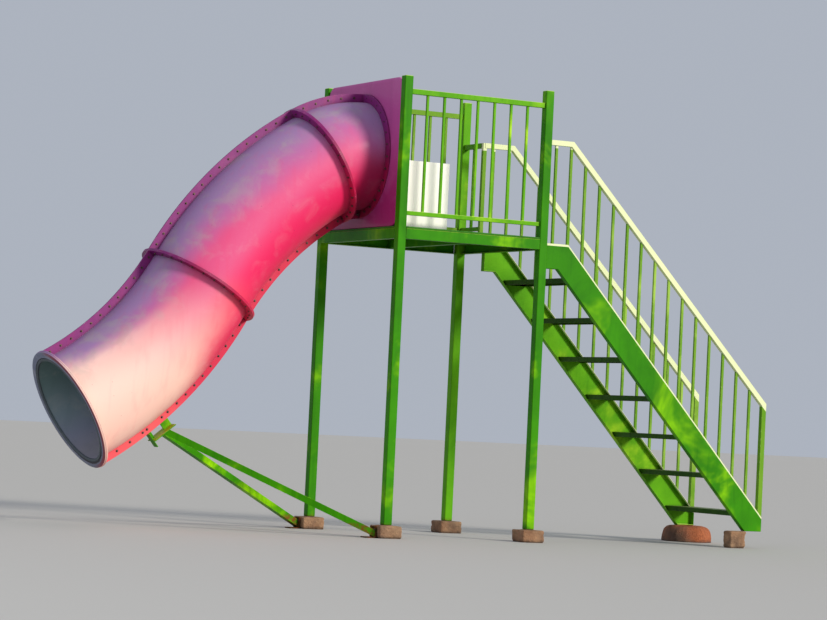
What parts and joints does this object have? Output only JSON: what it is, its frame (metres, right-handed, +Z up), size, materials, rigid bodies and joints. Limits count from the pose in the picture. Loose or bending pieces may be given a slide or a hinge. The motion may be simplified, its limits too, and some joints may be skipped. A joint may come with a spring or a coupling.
{
  "type": "water slide tower",
  "caption": "Steel platform on posts with a railed stair on one side and a curved enclosed fibreglass tube slide of bolted half shells on the other.",
  "frame": {"origin": "centre of the plan box on the ground, under the middle of the tower's length and width", "axes": "+Z up; +X along the tower from the slide's mouth towards the foot of the stair; +Y towards the rear, so the tower is seen from -Y with the slide on the left"},
  "size_m": [6.2578, 1.538, 3.564],
  "materials": {
    "green_steel": "gloss lime green paint, worn at edges, rust at the feet",
    "deck_steel": "worn green paint, scuffed by feet",
    "tread_steel": "dark green paint, scuffed at the front edge",
    "tube_fibreglass": "pink gelcoat, faded on top, deeper at the flanges",
    "panel_fibreglass": "magenta gelcoat, slightly faded",
    "trough_fibreglass": "white gelcoat",
    "lip_fibreglass": "grey lilac, chalky, chipped at the bottom",
    "concrete": "rough tan concrete, stained"
  },
  "bodies": {
    "root": {"post_slide_front": "green_steel", "post_stair_front": "green_steel", "post_slide_rear": "green_steel", "post_stair_rear": "green_steel", "footing_slide_front": "concrete", "footing_stair_front": "concrete", "footing_slide_rear": "concrete", "footing_stair_rear": "concrete", "beam_front": "green_steel", "beam_rear": "green_steel", "beam_slide_side": "green_steel", "beam_stair_side": "green_steel", "deck_joist": "green_steel", "deck_plate": "deck_steel", "railing_front": "green_steel", "railing_rear": "green_steel", "railing_stair_side": "green_steel", "stringer_front": "green_steel", "stringer_rear": "green_steel", "tread_1": "tread_steel", "tread_2": "tread_steel", "tread_3": "tread_steel", "tread_4": "tread_steel", "tread_5": "tread_steel", "tread_6": "tread_steel", "tread_7": "tread_steel", "stair_railing_front": "green_steel", "stair_railing_rear": "green_steel", "stair_footing_front": "concrete", "stair_footing_rear": "concrete", "entry_panel": "panel_fibreglass", "entry_trough": "trough_fibreglass", "tube_upper_front": "tube_fibreglass", "tube_upper_rear": "tube_fibreglass", "tube_middle_front": "tube_fibreglass", "tube_middle_rear": "tube_fibreglass", "tube_lower_front": "tube_fibreglass", "tube_lower_rear": "tube_fibreglass", "mouth_rim": "lip_fibreglass", "tube_bracket": "green_steel", "strut_front": "green_steel", "strut_rear": "green_steel", "strut_foot_front": "green_steel", "strut_foot_rear": "green_steel"}
  },
  "joints": []
}
